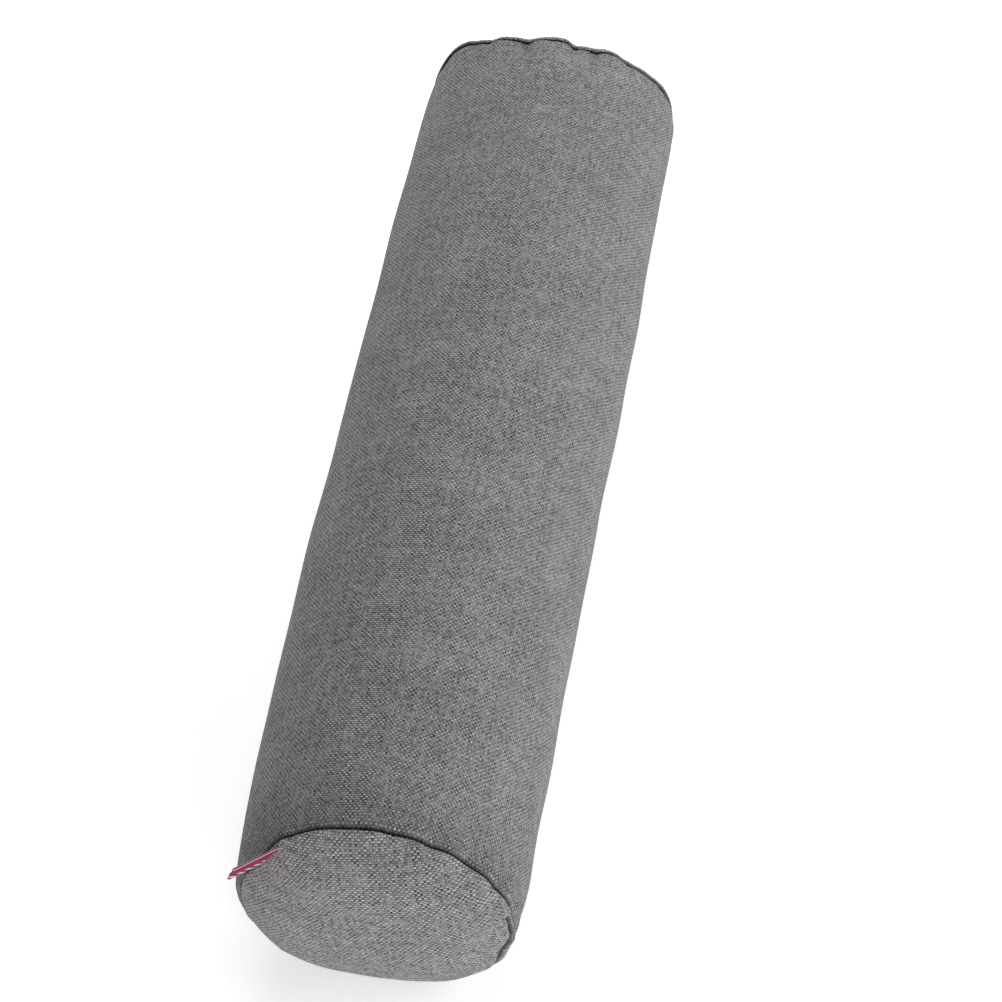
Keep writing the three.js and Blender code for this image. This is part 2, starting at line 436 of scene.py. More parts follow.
def folds(angle, off):
    """How far the small folds press in the cloth, or lift it beside them."""
    total = 0.0
    for fold in FOLDS:
        (clock, start), (to_clock, stop) = fold["start"], fold["stop"]
        across = np.radians(turn_from(clock, angle)) * REST_RADIUS
        away = off[fold["end"]] - start
        run_round = math.radians(to_clock - clock) * REST_RADIUS
        run_along = stop - start
        length = math.hypot(run_round, run_along)
        ahead = (across * run_round + away * run_along) / length**2
        aside = (across * run_along - away * run_round) / length
        fade = np.clip(1 - np.maximum(ahead, 0), 0, 1) ** FOLD_TAPER
        fade = fade * np.exp(-((np.minimum(ahead, 0) * length / FOLD_BEGIN) ** 2))
        widths = aside / fold["width"]
        groove = np.exp(-(widths**2))
        lifted = np.exp(-(((widths - FOLD_LIP_AT) / FOLD_LIP_WIDTH) ** 2))
        total = total + fade * (fold["lip"] * lifted - fold["depth"] * groove)
    return total


class Gathers:
    """The small puckers that one end's seam leaves in the cloth on both its sides."""

    COUNT = 58
    WAVES = 9
    FEWEST_ROUNDS = 5
    WIDENS_OVER = 22.0  # a pucker is twice as wide this far from the seam
    FADE_POWER = 1.4
    SEEDS = {"front": 21, "back": 34}

    def __init__(self, end, form):
        draw = np.random.default_rng(self.SEEDS[end])
        self.end = end
        spacing = 360 / self.COUNT
        clocks = spacing * (np.arange(self.COUNT) + draw.uniform(-0.4, 0.4, self.COUNT))
        widths = draw.uniform(1.3, 3.6, self.COUNT)
        heights = form.pucker_height / MM * draw.normal(0, 1, self.COUNT)
        reaches = draw.uniform(7, 26, self.COUNT)
        sways = draw.uniform(-0.28, 0.28, self.COUNT)  # degrees that a pucker drifts for each mm along
        self.puckers = list(zip(clocks, widths, heights, reaches, sways))
        self.wander_phase = draw.uniform(0, 2 * np.pi, self.WAVES)
        self.wander_size = draw.normal(0, 1, self.WAVES)

    def lift(self, angle, distance):
        """How far the cloth stands out at a distance from the seam."""
        off = np.maximum(distance, 0)
        total = np.zeros(np.broadcast(angle, distance).shape)
        for clock, width, height, reach, sway in self.puckers:
            turn = turn_from(clock, angle) - sway * off
            across = bell(turn, width * (1 + off / self.WIDENS_OVER))
            total += height * across * np.exp(-((off / reach) ** self.FADE_POWER))
        return total

    def wander(self, angle):
        """The seam's own small waves."""
        waves = [
            size * np.sin((n + self.FEWEST_ROUNDS) * angle + phase)
            for n, (size, phase) in enumerate(zip(self.wander_size, self.wander_phase))
        ]
        return WANDER * (sum(waves) / math.sqrt(self.WAVES))

    def strayed(self, angle):
        """How far the seam's line lies off its plain ring, outwards and along +Y."""
        out, past = self.wander(angle), self.wander(angle + 1.0)
        if self.end == "front":
            return out + stray(self.end, angle), past
        return out, past + stray(self.end, angle)


def all_gathers(form):
    return {end: Gathers(end, form) for end in SEAMS}


def pucker_share(off, reach):
    """The puckers' share of their height: less on the tight rolled edge, and all of it past a reach."""
    return PUCKER_ON_EDGE + (1 - PUCKER_ON_EDGE) * (1 - fade_in(off, reach))


def lumps(angle, station, height):
    """Soft unevenness of the filling all along the tube."""
    draw = np.random.default_rng(LUMP_SEED)
    total = 0.0
    for _ in range(LUMP_WAVES):
        rounds = draw.integers(1, 8)
        wave = draw.uniform(*LUMP_LENGTHS)
        phase_round, phase_along = draw.uniform(0, 2 * np.pi, 2)
        around = np.sin(rounds * angle + phase_round)
        along = np.sin(2 * np.pi * station / wave + phase_along)
        total = total + draw.normal(0, LUMP_SIZE) * around * along
    return height * total


def on_tube(radius, angle, station, form, ends):
    """Where a point of the tube lies with all its small shaping."""
    off = to_seams(station)
    part = np.clip(radius / tube_radius(station), 0, 1) ** 4
    puff = lumps(angle, station, form.lump_height / MM) + folds(angle, off)
    push = 0.0
    for end, gather in ends.items():
        near = fade_in(off[end], STRAY_REACH)
        puff = puff + gather.lift(angle, off[end]) * pucker_share(off[end], TUBE_EDGE)
        out, past = gather.strayed(angle)
        puff = puff + out * near + lip(end, angle, "out") * fade_in(off[end], TUBE_LIP_REACH)
        push = push + past * near
    arc = np.radians(np.abs(turn_from(CLOSING_CLOCK, angle))) * REST_RADIUS
    puff = puff - CLOSING_DEPTH * np.exp(-((arc / CLOSING_WIDTH) ** 1.5))
    return settle(radius, angle, station, puff * part, push * part)


def roll_points(centre, radius, start, stop, steps):
    """Points on a circle in section, from one angle to another in degrees."""
    turns = np.radians(np.linspace(start, stop, steps))
    return np.stack([centre[0] + radius * np.cos(turns), centre[1] + radius * np.sin(turns)], axis=1)


def panel_face(end):
    """A panel's face in section, from its middle into the groove: radius and height past the seam."""
    shape = CROWNS[end]
    edge = rim_radius(end) - PANEL_INSET
    centre = (edge - PANEL_ROLL, PANEL_ROLL + SEAM_GAP / 2)
    roll = roll_points(centre, PANEL_ROLL, shape["roll_from"], -90, 12)
    brim_radius, brim_height = roll[0]
    shares = np.sin(np.linspace(0, np.pi / 2, DOME_STEPS))
    rise = (shape["crown"] - brim_height) * (1 - shares ** shape["power"]) ** shape["edge"]
    dome = np.stack([brim_radius * shares, brim_height + rise], axis=1)
    inward = [[centre[0] - depth, SEAM_GAP / 2] for depth in (0.8, SEAM_DEPTH - PANEL_ROLL)]
    return np.concatenate([dome[:-1], roll, inward])


def lining_of(face, thickness):
    """The same section moved inwards by a thickness, from the groove back to the middle."""
    inner = face + thickness * right_of(face)
    inner[0, 0] = 0.0
    return inner[::-1]


def right_of(path):
    """The directions square to a path in section, to the right of its run."""
    run = np.gradient(path, axis=0)
    run /= np.linalg.norm(run, axis=1, keepdims=True)
    return np.stack([run[:, 1], -run[:, 0]], axis=1)


def lengths_along(path):
    """How far along a path each of its points lies."""
    return np.concatenate([[0.0], np.cumsum(np.linalg.norm(np.diff(path, axis=0), axis=1))])


def growing_steps(start, stop):
    """Distances that begin close together and widen to even steps."""
    at, step, found = start, FINE_STEP, []
    while at < stop:
        found.append(at)
        at += step
        step = min(step * STEP_GROWTH, WIDE_STEP)
    return np.array(found)


def spaced_round():
    """Angles once round the tube from its closing seam, closer together where FINE_AROUND says so."""
    even = np.linspace(0, 360, 360 * 10 + 1)
    density = np.ones_like(even)
    for clock, half_width, finer in FINE_AROUND:
        turn = np.abs(turn_from(clock, np.radians(CLOSING_CLOCK + even)))
        density += (finer - 1) * np.exp(-((turn / half_width) ** 4))
    reached = np.concatenate([[0], np.cumsum((density[1:] + density[:-1]) / 2)])
    turns = np.interp(np.linspace(0, reached[-1], COLUMNS, endpoint=False), reached, even)
    return np.radians(CLOSING_CLOCK + turns)


def tube_section():
    """The closed body in section, from the front end's middle to the back end's: radius and station."""
    near = growing_steps(TUBE_ROLL + SEAM_GAP / 2, SEAM_TO_SEAM / 2)
    stations = np.concatenate([near, SEAM_TO_SEAM - near[::-1]])
    tube = np.stack([tube_radius(stations), stations], axis=1)
    parts = []
    for end in SEAMS:
        rim = rim_radius(end)
        roll = roll_points((rim - TUBE_ROLL, TUBE_ROLL + SEAM_GAP / 2), TUBE_ROLL, -90, 0, 9)[:-1]
        under = panel_face(end)[: DOME_STEPS - 1 : 4] - (0, UNDER_PANEL)
        under[1:, 0] -= 1.0
        step_in = [under[-1, 0] + 0.4, -SEAM_DEPTH]
        step_out = [rim - SEAM_DEPTH - 0.6, SEAM_GAP / 2 + 0.3]
        inside = np.concatenate([under, [step_in, step_out]])
        inside[:, 1] *= -1  # heights past the seam become stations before the front seam
        side = np.concatenate([inside, roll])
        if end == "back":
            side = side[::-1].copy()
            side[:, 1] = SEAM_TO_SEAM - side[:, 1]
        parts.append(side)
    return np.concatenate([parts[0], tube, parts[1]])


def lathe(name, section, angles, place, unrolled):
    """A closed mesh whose section, from axis to axis, is set round by place(row, angle)."""
    rows, columns = len(section), len(angles)
    inner = np.arange(1, rows - 1)
    grid = place(section[inner, 0][:, None], angles[None, :], section[inner, 1][:, None])
    poles = place(section[[0, -1], 0], np.zeros(2), section[[0, -1], 1])
    points = np.concatenate([grid.reshape(-1, 3), poles])
    top, bottom = len(points) - 2, len(points) - 1
    faces, corners = [], []
    for row in range(rows - 1):
        here, there = (row - 1) * columns, row * columns
        for col in range(columns):
            nxt = (col + 1) % columns
            if row == 0:
                faces.append((top, there + col, there + nxt))
                corners += [(0, col), (1, col), (1, col + 1)]
            elif row == rows - 2:
                faces.append((here + col, bottom, here + nxt))
                corners += [(row, col), (rows - 1, col), (row, col + 1)]
            else:
                faces.append((here + col, there + col, there + nxt, here + nxt))
                corners += [(row, col), (row + 1, col), (row + 1, col + 1), (row, col + 1)]
    uv_grid = unrolled(np.arange(rows)[:, None], np.arange(columns + 1)[None, :])
    picked = np.array(corners)
    return cloth_mesh(name, points, faces, uv_grid[picked[:, 0], picked[:, 1]])


def cloth_mesh(name, points, faces, unrolled):
    """A smooth mesh from millimetres that faces outwards, with a UV pair for each corner of its faces."""
    mesh = bpy.data.meshes.new(name)
    mesh.from_pydata((np.array(points) * MM).tolist(), [], faces)
    layer = mesh.uv_layers.new(name=CLOTH_UV)
    layer.data.foreach_set("uv", (np.array(unrolled) * MM).astype(np.float32).ravel())
    mesh.polygons.foreach_set("use_smooth", np.ones(len(mesh.polygons), bool))
    mesh.update()
    volume = sum(face.center.dot(face.normal) * face.area for face in mesh.polygons)
    if volume < 0:
        mesh.flip_normals()
    return mesh


def finish_piece(mesh, material, replaced=()):
    piece = bpy.data.objects.new(mesh.name, mesh)
    bpy.context.scene.collection.objects.link(piece)
    mesh.materials.clear()
    mesh.materials.append(material)
    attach(piece, "root")
    if replaced:
        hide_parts(*replaced)
    return piece


class Signal:
    """A node's output that can stand in a Python expression."""

    def __init__(self, board, socket):
        self.board = board
        self.socket = socket

    def maths(self, operation, *others):
        values = dict(enumerate((self, *others)))
        return self.board.node("ShaderNodeMath", {"operation": operation}, values)

    def __add__(self, other):
        return self.maths("ADD", other)

    __radd__ = __add__

    def __mul__(self, other):
        return self.maths("MULTIPLY", other)

    __rmul__ = __mul__

    def __sub__(self, other):
        return self.maths("SUBTRACT", other)

    def __rsub__(self, other):
        return self.board.node("ShaderNodeMath", {"operation": "SUBTRACT"}, {0: other, 1: self})

    def __truediv__(self, other):
        return self.maths("DIVIDE", other)

    def __abs__(self):
        return self.maths("ABSOLUTE")

    def floor(self):
        return self.maths("FLOOR")

    def fraction(self):
        return self.maths("FRACT")

    def cosine(self):
        return self.maths("COSINE")

    def sine(self):
        return self.maths("SINE")

    def least(self, other):
        return self.maths("MINIMUM", other)

    def most(self, other):
        return self.maths("MAXIMUM", other)

    def over(self, other):
        return self.maths("GREATER_THAN", other)

    def between(self, low, high, kind="LINEAR"):
        """0 at low and below, 1 at high and above, and a straight line between."""
        values = {"Value": self, "From Min": low, "From Max": high}
        return self.board.node("ShaderNodeMapRange", {"interpolation_type": kind}, values)

    def eased(self, low, high):
        """The same with a smooth step between."""
        return self.between(low, high, "SMOOTHSTEP")


class Board:
    """Lays out the nodes of one tree."""

    def __init__(self, tree):
        self.tree = tree
        tree.nodes.clear()

    def node(self, kind, settings=None, values=None, out=0):
        made = self.tree.nodes.new(kind)
        for name, value in (settings or {}).items():
            setattr(made, name, value)
        for name, value in (values or {}).items():
            socket = made.inputs[name]
            if isinstance(value, Signal):
                self.tree.links.new(value.socket, socket)
            else:
                socket.default_value = value
        return Signal(self, made.outputs[out]) if made.outputs else None

    def place(self, x, y, z=0.0):
        return self.node("ShaderNodeCombineXYZ", None, {"X": x, "Y": y, "Z": z})

    def parts(self, vector):
        return [self.node("ShaderNodeSeparateXYZ", None, {"Vector": vector}, axis) for axis in "XYZ"]

    def turned(self, vector, angle):
        values = {"Vector": vector, "Angle": angle}
        return self.node("ShaderNodeVectorRotate", {"rotation_type": "Z_AXIS"}, values)

    def cloth(self):
        return self.node("ShaderNodeUVMap", {"uv_map": CLOTH_UV})

    def noise(self, where, scale, detail=2.0, kind="2D"):
        values = {"Vector": where, "Scale": scale, "Detail": detail}
        return self.node("ShaderNodeTexNoise", {"noise_dimensions": kind}, values)

    def solid_noise(self, scale):
        """Noise through the object's own space, for surfaces without a UV map."""
        where = self.node("ShaderNodeTexCoord", None, None, "Object")
        return self.noise(where, scale, 2.0, "3D")

    def scatter(self, value):
        return self.node("ShaderNodeTexWhiteNoise", {"noise_dimensions": "1D"}, {"W": value})

    def mix(self, factor, first, second):
        """Mixes two colours."""
        return self.node("ShaderNodeMix", {"data_type": "RGBA"}, {0: factor, 6: first, 7: second}, 2)

    def bump(self, height, distance):
        return self.node("ShaderNodeBump", None, {"Height": height, "Distance": distance})

    def surface(self, constants, varying):
        """The one shader, with its constant sockets set on it and its varying ones linked."""
        shader = self.node("ShaderNodeBsdfPrincipled", None, {**constants, **varying})
        self.node("ShaderNodeOutputMaterial", None, {"Surface": shader})


def new_material(name):
    material = bpy.data.materials.new(name)
    material.use_nodes = True
    return material, Board(material.node_tree)


def shaded(colour_value, factor):
    return (*(min(channel * factor, 1.0) for channel in colour_value), 1.0)


def thread(board, index, run, seed):
    """The tone and the thickness of one thread at each place along it, both from 0 to 1."""
    apart = index * THREADS_APART + seed
    long_flecks = board.noise(board.place(apart, run * FLECKS), 1.0)
    slub = board.noise(board.place(apart + 41.0, run * SLUBS), 1.0, 1.0)
    tone = board.scatter(index + seed) * 0.35 + long_flecks.eased(0.3, 0.7) * 0.65
    return tone, slub.eased(0.35, 0.75)


def woven_cloth(name, mean_colour, cloth, painted_seam_shade, turn=0.0, looser=1.0):
    """Plain weave of uneven melange threads, on the piece's UV map in metres.

    The seam function passed in takes the board and the UV map, and gives 0 in the seam's groove and 1
    clear of them; the colour is darkened by it, a painted shade in and beside the groove.
    """
    material, board = new_material(name)
    flat = board.cloth()
    across, along, _ = board.parts(board.turned(flat, turn))
    sway_across = board.noise(flat, SWAYS, 1.0) - 0.5
    sway_along = board.noise(board.place(along + 3.0, across), SWAYS, 1.0) - 0.5
    warp_at = (across + sway_across * (SWAY * MM)) / (cloth.pitch_round * looser)
    weft_at = (along + sway_along * (SWAY * MM)) / (cloth.pitch_along * looser)
    warp, weft = warp_at.floor(), weft_at.floor()
    warp_tone, warp_slub = thread(board, warp, along, 17.0)
    weft_tone, weft_slub = thread(board, weft, across, 61.0)
    warp_side = warp_at.fraction() - 0.5
    weft_side = weft_at.fraction() - 0.5
    over_under = (warp_at * math.pi).sine() * (weft_at * math.pi).sine()
    warp_height = over_under * CRIMP + (0.25 - warp_side * warp_side) * (warp_slub * 1.2 + 2.0)
    weft_height = over_under * -CRIMP + (0.25 - weft_side * weft_side) * (weft_slub * 1.2 + 2.0)
    warp_over = (warp_height - weft_height).eased(-0.3, 0.3)
    height = warp_height.most(weft_height)
    tone = warp_tone * warp_over + weft_tone * (1.0 - warp_over)
    crossing = board.scatter(warp + weft * 71.3)
    fibres = board.noise(flat, FIBRES)
    melange = board.noise(flat, YARN)
    patchy = board.noise(flat, PATCHES).eased(0.3, 0.7)
    cloudy = board.noise(flat, CLOUDS, 3.0)
    # The cloth's brightness as a share of its mean colour: the crown term is painted light and shade of
    # the weave's relief, the thread term partly the yarn's own tone and partly painted shade, and the
    # flecks, speckle, melange, clouds and fibres are the yarn's own tone.
    light = (
        1.0
        + (height - MEAN_HEIGHT) * cloth.crown_contrast
        - (warp_over - 0.5) * (patchy * 0.9 + 0.5) * cloth.thread_contrast
        + (tone - 0.5) * cloth.fleck
        + (crossing - 0.5) * cloth.speckle
        + (melange - 0.5) * cloth.melange
        + (cloudy - 0.5) * cloth.cloud
        + (fibres - 0.5) * 0.3
    # Painted shade: the colour is darkened in and beside the seam's groove, down to SEAM_SHADE of it.
    ) * (painted_seam_shade(board, flat) * (1.0 - SEAM_SHADE) + SEAM_SHADE)
    lit = light.between(DARKEST, LIGHTEST)
    colour_value = board.mix(lit, shaded(mean_colour, DARKEST), shaded(mean_colour, LIGHTEST))
    relief = board.bump(height + fibres * 0.22, cloth.relief)
    board.surface(
        {"Roughness": 0.92, "Sheen Weight": 0.05, "Sheen Roughness": 0.5, "Specular IOR Level": 0.2},
        {"Base Color": colour_value, "Normal": relief},
    )
    return material


def painted_tube_seam_shade(board, flat):
    """Painted shade on the tube: 0 in the grooves at both ends and 1 clear of them, lower near the front
    seam and in the sharp folds.

    The painted shade in the grooves is paler on the underside, where the tube's rounded edge is seen from
    its end, and wider at the back seam.
    """
    round_, along, _ = board.parts(flat)
    off = along.least(SEAM_TO_SEAM * MM - along)
    to_closing = round_.least(2 * math.pi * REST_RADIUS * MM - round_)
    below = 1.0 - to_closing.eased(*(edge * MM for edge in UNDERSIDE))
    wider = along.over(SEAM_TO_SEAM * MM / 2) * (FAR_SHADE_WIDER * MM)
    groove = off - wider + below * (UNDER_SHADE_NARROWER * MM)
    # Painted shade: the colour darkens towards the front seam, by a fifth at the seam and none 40 mm away.
    clear = groove.eased(*(edge * MM for edge in TUBE_GROOVE_SHADE)) * (along.eased(0.0, 0.04) * 0.2 + 0.8)
    # Painted shade in the creases of the folds that have a shade.
    for fold in FOLDS:
        if fold["shade"]:
            clear = clear * (1.0 - fold_shade(round_, along, fold) * fold["shade"])
    return clear


def fold_shade(round_, along, fold):
    """Where a fold's painted shade falls: 1 on its line, falling to 0 beside it and along it, on the
    tube's UV map.
    """
    ends = []
    for clock, off in (fold["start"], fold["stop"]):
        station = off if fold["end"] == "front" else SEAM_TO_SEAM - off
        ends.append((math.radians((clock - CLOSING_CLOCK) % 360) * REST_RADIUS * MM, station * MM))
    (u, v), (to_u, to_v) = ends
    length = math.hypot(to_u - u, to_v - v)
    du, dv = (to_u - u) / length, (to_v - v) / length
    ahead = (round_ - u) * du + (along - v) * dv
    aside = abs((round_ - u) * dv - (along - v) * du)
    half = fold["width"] * MM
    beside = 1.0 - aside.eased(0.25 * half, 1.5 * half)
    return beside * (1.0 - ahead.eased(0.45 * length, length)) * ahead.eased(-0.002, 0.0)


def painted_panel_seam_shade(reach):
    """The same painted shade in the groove, for a panel whose cloth reaches this far from its middle."""

    def clear(board, flat):
        out = board.node("ShaderNodeVectorMath", {"operation": "LENGTH"}, {0: flat}, "Value")
        return (reach * MM - out).eased(*(edge * MM for edge in PANEL_GROOVE_SHADE))

    return clear


def ribbon_cloth(name, tab):
    """Ribbed ribbon with a pale edge and a band of pale strokes. Its UV is metres across and along."""
    material, board = new_material(name)
    across, along, _ = board.parts(board.cloth())

    def wave(run, pitch):
        return (run * (2 * math.pi / (pitch * MM))).cosine()

    def stripe(off, limits):
        begin, stop = [[edge * MM for edge in pair] for pair in limits]
        return off.eased(*begin) - off.eased(*stop)

    rib = wave(along, RIB_PITCH)
    grain = board.noise(board.place(across * 1500.0, along * 4000.0), 1.0)
    edging = stripe(across + tab.width / 2, EDGING)
    band = stripe(tab.width / 2 - across, BAND)
    strokes = wave(along + across * STROKE_SLANT, STROKE_PITCH).eased(-0.15, 0.25)
    pale = (edging + band * strokes).least(1.0)
    base = board.mix(grain, shaded(tab.ribbon_colour, 0.7), shaded(tab.ribbon_colour, 1.25))
    both = board.mix(pale, base, shaded(tab.edge_colour, 1.0))
    relief = board.bump(rib * 0.5 + grain * 0.4 + pale * 0.6, 0.00012)
    board.surface({"Roughness": 0.7, "Specular IOR Level": 0.15}, {"Base Color": both, "Normal": relief})
    return material


def thread_cloth(name, thread_colour):
    """Dark grey sewing thread."""
    material, board = new_material(name)
    twist = board.solid_noise(4000.0)
    colour_value = board.mix(twist, shaded(thread_colour, 0.6), shaded(thread_colour, 1.5))
    relief = board.bump(twist, 0.00005)
    board.surface({"Roughness": 0.6}, {"Base Color": colour_value, "Normal": relief})
    return material


def floor_paint(name, colour_value):
    """Plain pale floor with the faintest mottle."""
    material, board = new_material(name)
    mottled = board.mix(board.solid_noise(3.0), shaded(colour_value, 0.99), shaded(colour_value, 1.01))
    glow = {"Emission Color": (1, 1, 1, 1), "Emission Strength": FLOOR_GLOW}
    board.surface({"Roughness": 0.9, "Specular IOR Level": 0.1, **glow}, {"Base Color": mottled})
    return material


def stitching_tree():
    """Geometry nodes that lay short bars of thread, one a pitch, along a line and across it."""
    tree = bpy.data.node_groups.new("stitching", "GeometryNodeTree")
    board = Board(tree)
    kinds = {
        "Geometry": "Geometry",
        "Pitch": "Float",
        "Length": "Float",
        "Thickness": "Float",
        "Seed": "Int",
        "Thread": "Material",
    }
    for name, kind in kinds.items():
        tree.interface.new_socket(name, in_out="INPUT", socket_type="NodeSocket" + kind)
    tree.interface.new_socket("Geometry", in_out="OUTPUT", socket_type="NodeSocketGeometry")
    given = {name: board.node("NodeGroupInput", None, None, name) for name in kinds}
    line = board.node("GeometryNodeMeshToCurve", None, {"Mesh": given["Geometry"]})
    values = {"Curve": line, "Length": given["Pitch"]}
    spaced = board.node("GeometryNodeResampleCurve", {"mode": "LENGTH"}, values)
    vector = {"data_type": "FLOAT_VECTOR"}
    across = board.node("GeometryNodeInputNamedAttribute", vector, {"Name": "across"})
    turned = board.node("FunctionNodeAlignRotationToVector", {"axis": "X"}, {"Vector": across})
    values = {2: 0.8, 3: 1.15, "Seed": given["Seed"]}
    uneven = board.node("FunctionNodeRandomValue", {"data_type": "FLOAT"}, values, 1)
    size = board.place(given["Length"], given["Thickness"], given["Thickness"])
    sized = board.node("ShaderNodeVectorMath", {"operation": "SCALE"}, {0: size, "Scale": uneven})
    bead = board.node("GeometryNodeMeshUVSphere", None, {"Segments": 8, "Rings": 8, "Radius": 0.5})
    values = {"Points": spaced, "Instance": bead, "Rotation": turned, "Scale": sized}
    placed = board.node("GeometryNodeInstanceOnPoints", None, values)
    real = board.node("GeometryNodeRealizeInstances", None, {"Geometry": placed})
    rounded = board.node("GeometryNodeSetShadeSmooth", None, {0: real})
    values = {"Geometry": rounded, "Material": given["Thread"]}
    done = board.node("GeometryNodeSetMaterial", None, values)
    board.node("NodeGroupOutput", None, {"Geometry": done})
    return tree


class BOLSTER_OT_tube(bpy.types.Operator):
    """Make the filled cloth tube, with its rolled ends and its closing seam"""

    bl_idname = "bolster.tube"
    bl_label = "Tube cloth"

    def execute(self, context):
        form, cloth = context.scene.bolster_form, context.scene.bolster_cloth
        angles = spaced_round()
        arcs = np.append((angles - angles[0]) * REST_RADIUS, 2 * np.pi * REST_RADIUS)
        section = tube_section()
        ends = all_gathers(form)

        def place(radius, angle, station):
            return on_tube(radius, angle, station, form, ends)

        def unrolled(row, column):
            return np.stack(np.broadcast_arrays(arcs[column], section[row, 1]), axis=-1)

        mesh = lathe("tube_cloth", section, angles, place, unrolled)
        material = woven_cloth("tube_weave", cloth.tube_colour, cloth, painted_tube_seam_shade)
        piece = finish_piece(mesh, material, ["bolster_body"])
        return {"FINISHED"}


class BOLSTER_OT_panels(bpy.types.Operator):
    """Make the round cloth panel over each end"""

    bl_idname = "bolster.panels"
    bl_label = "End panels"

    def execute(self, context):
        cloth = context.scene.bolster_cloth
        for end, gather in all_gathers(context.scene.bolster_form).items():
            face = panel_face(end)
            reached = lengths_along(face)
            reach = float(reached[-1])
            mesh = self.panel(end, gather, face, np.concatenate([reached, reached[::-1]]))
            weave, clear = end + "_panel_weave", painted_panel_seam_shade(reach)
            material = woven_cloth(
                weave, cloth.panel_colour, cloth, clear, cloth.panel_turn, PANEL_LOOSER
            )
            piece = finish_piece(mesh, material, ["end_panel_" + end])
        return {"FINISHED"}

    def panel(self, end, gather, face, reached):
        """One panel's mesh, with its face and its lining."""
        section = np.concatenate([face, lining_of(face, PANEL_THICKNESS)])
        angles = np.linspace(0, 2 * np.pi, PANEL_COLUMNS, endpoint=False)
        turns = np.append(angles, 2 * np.pi)
        rim = face[:, 0].max()

        def place(radius, angle, height):
            part = np.clip(radius / rim, 0, 1)
            off = np.maximum(rim - radius, 0)
            lift = gather.lift(-angle, off * PANEL_PUCKERS_SHORTER) * part**2
            near = fade_in(off, STRAY_REACH) * part
            out, past = gather.strayed(angle)
            puff = out * near - lip(end, angle, "drawn") * fade_in(off, PANEL_LIP_REACH) * part
            high = height + lift * pucker_share(off, PANEL_EDGE) * PANEL_PUCKERS_LOWER
            station = -high if end == "front" else SEAM_TO_SEAM + high
            return settle(radius, angle, station, puff, past * near)

        def unrolled(row, column):
            out, turn = reached[row], turns[column]
            return np.stack(np.broadcast_arrays(out * np.sin(turn), out * np.cos(turn)), axis=-1)

        return lathe(end + "_panel_cloth", section, angles, place, unrolled)


class BOLSTER_OT_stitches(bpy.types.Operator):
    """Make the sewing thread in the three seams"""

    bl_idname = "bolster.stitches"
    bl_label = "Seam stitches"

    def execute(self, context):
        form, stitches = context.scene.bolster_form, context.scene.bolster_stitches
        ends = all_gathers(form)
        points, across, edges = [], [], []
        for run, over, closed in (*self.rings(ends), self.closing(form, ends)):
            first, count = len(points), len(run)
            points.extend(run)
            across.extend([over] * count)
            last = count if closed else count - 1
            edges += [(first + k, first + (k + 1) % count) for k in range(last)]
        mesh = bpy.data.meshes.new("seam_lines")
        mesh.from_pydata((np.array(points) * MM).tolist(), edges, [])
        layer = mesh.attributes.new("across", "FLOAT_VECTOR", "POINT")
        layer.data.foreach_set("vector", np.array(across, np.float32).ravel())
        lines = bpy.data.objects.new("seam_lines", mesh)
        context.scene.collection.objects.link(lines)
        material = thread_cloth("sewing_thread", stitches.thread_colour)
        made = self.stitched(context, lines, stitches, material)
        finish_piece(made, material)
        return {"FINISHED"}

    def stitched(self, context, lines, stitches, material):
        """Runs the geometry nodes on the seam lines and returns their result as a plain mesh."""
        modifier = lines.modifiers.new("stitching", "NODES")
        modifier.node_group = stitching_tree()
        values = {
            "Pitch": stitches.pitch,
            "Length": stitches.length,
            "Thickness": stitches.thickness,
            "Seed": stitches.seed,
            "Thread": material,
        }
        for item in modifier.node_group.interface.items_tree:
            if item.in_out == "INPUT" and item.name in values:
                modifier[item.identifier] = values[item.name]
        seen = lines.evaluated_get(context.evaluated_depsgraph_get())
        mesh = bpy.data.meshes.new_from_object(seen)
        mesh.name = "seam_stitches"
        bpy.data.objects.remove(lines)
        return mesh

    def rings(self, ends):
        """The closed lines deep in both end seams, with the direction across them."""
        angles = np.linspace(0, 2 * np.pi, 2 * PANEL_COLUMNS, endpoint=False)
        for end, gather in ends.items():
            radius = rim_radius(end) - STITCH_DEPTH
            yield settle(radius, angles, SEAMS[end], *gather.strayed(angles)), (0.0, 1.0, 0.0), True

    def closing(self, form, ends):
        """The open line along the bottom of the closing seam, with the direction across it."""
        stations = np.linspace(STITCH_ENDS, SEAM_TO_SEAM - STITCH_ENDS, CLOSING_STEPS)
        angle = math.radians(CLOSING_CLOCK)
        angles = np.full(stations.shape, angle)
        radius = tube_radius(stations) - CLOSING_STITCH_DEPTH
        run = on_tube(radius, angles, stations, form, ends)
        return run, (math.cos(angle), 0.0, -math.sin(angle)), False


